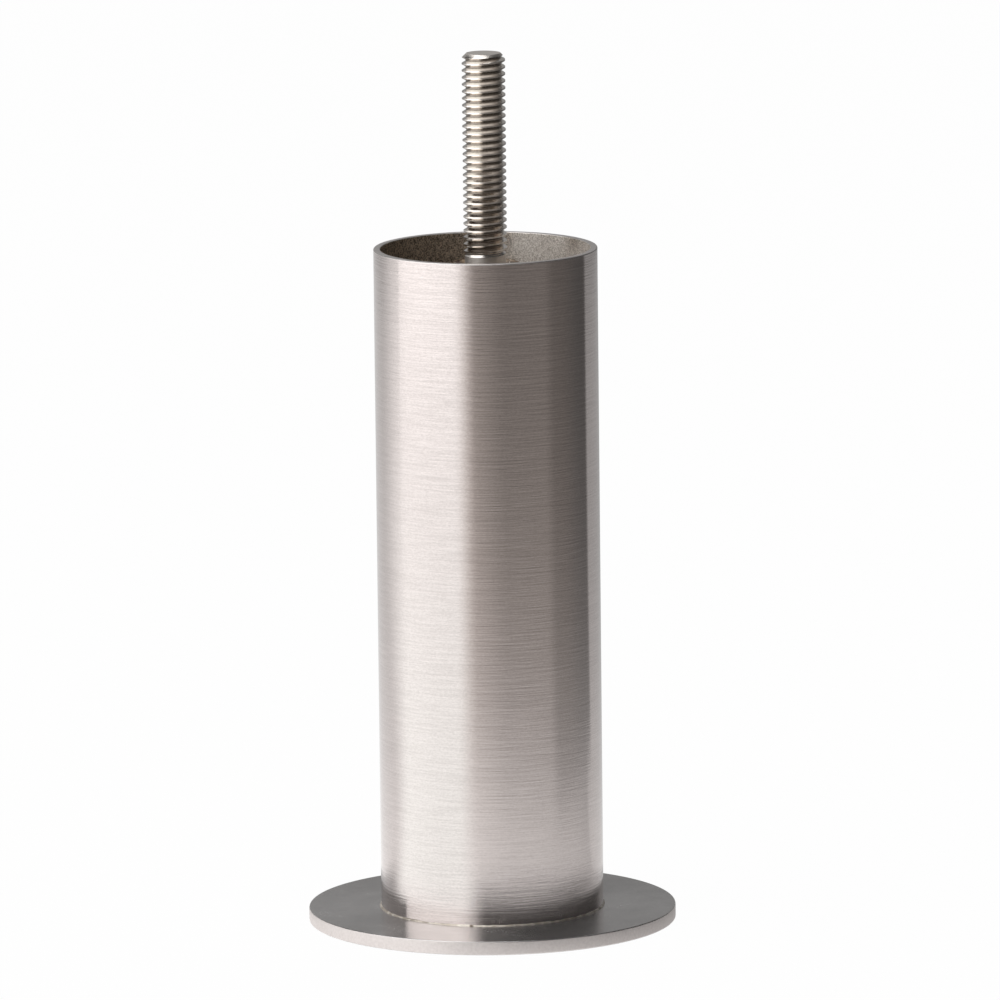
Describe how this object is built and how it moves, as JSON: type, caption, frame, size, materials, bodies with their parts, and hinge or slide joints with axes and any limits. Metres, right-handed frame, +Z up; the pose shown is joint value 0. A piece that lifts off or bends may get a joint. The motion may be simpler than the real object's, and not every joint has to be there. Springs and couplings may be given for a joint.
{
  "type": "furniture leg",
  "caption": "Straight round furniture leg in brushed steel: a tube on a flat round foot plate, with a screw stud standing up from its open top.",
  "frame": {"origin": "centre of the foot plate's underside, on the floor", "axes": "+Z up along the tube and the stud; the part is round about Z, so +X and +Y point at two of the tack welds in the mouth"},
  "size_m": [0.066, 0.066, 0.157],
  "materials": {
    "brushed_steel": "fine circumferential brushing on the tube and the foot plate",
    "plain_steel": "unpolished sheet, stained by the heat of welding",
    "bolt_steel": "bright rolled thread",
    "weld_metal": "as-welded bead with straw and brown heat tint"
  },
  "bodies": {
    "root": {"foot_plate": "brushed_steel", "tube": "brushed_steel", "foot_seam": "weld_metal", "bridge_plate": "plain_steel", "bridge_tacks": "weld_metal", "stud": "bolt_steel", "stud_weld": "weld_metal"}
  },
  "joints": []
}
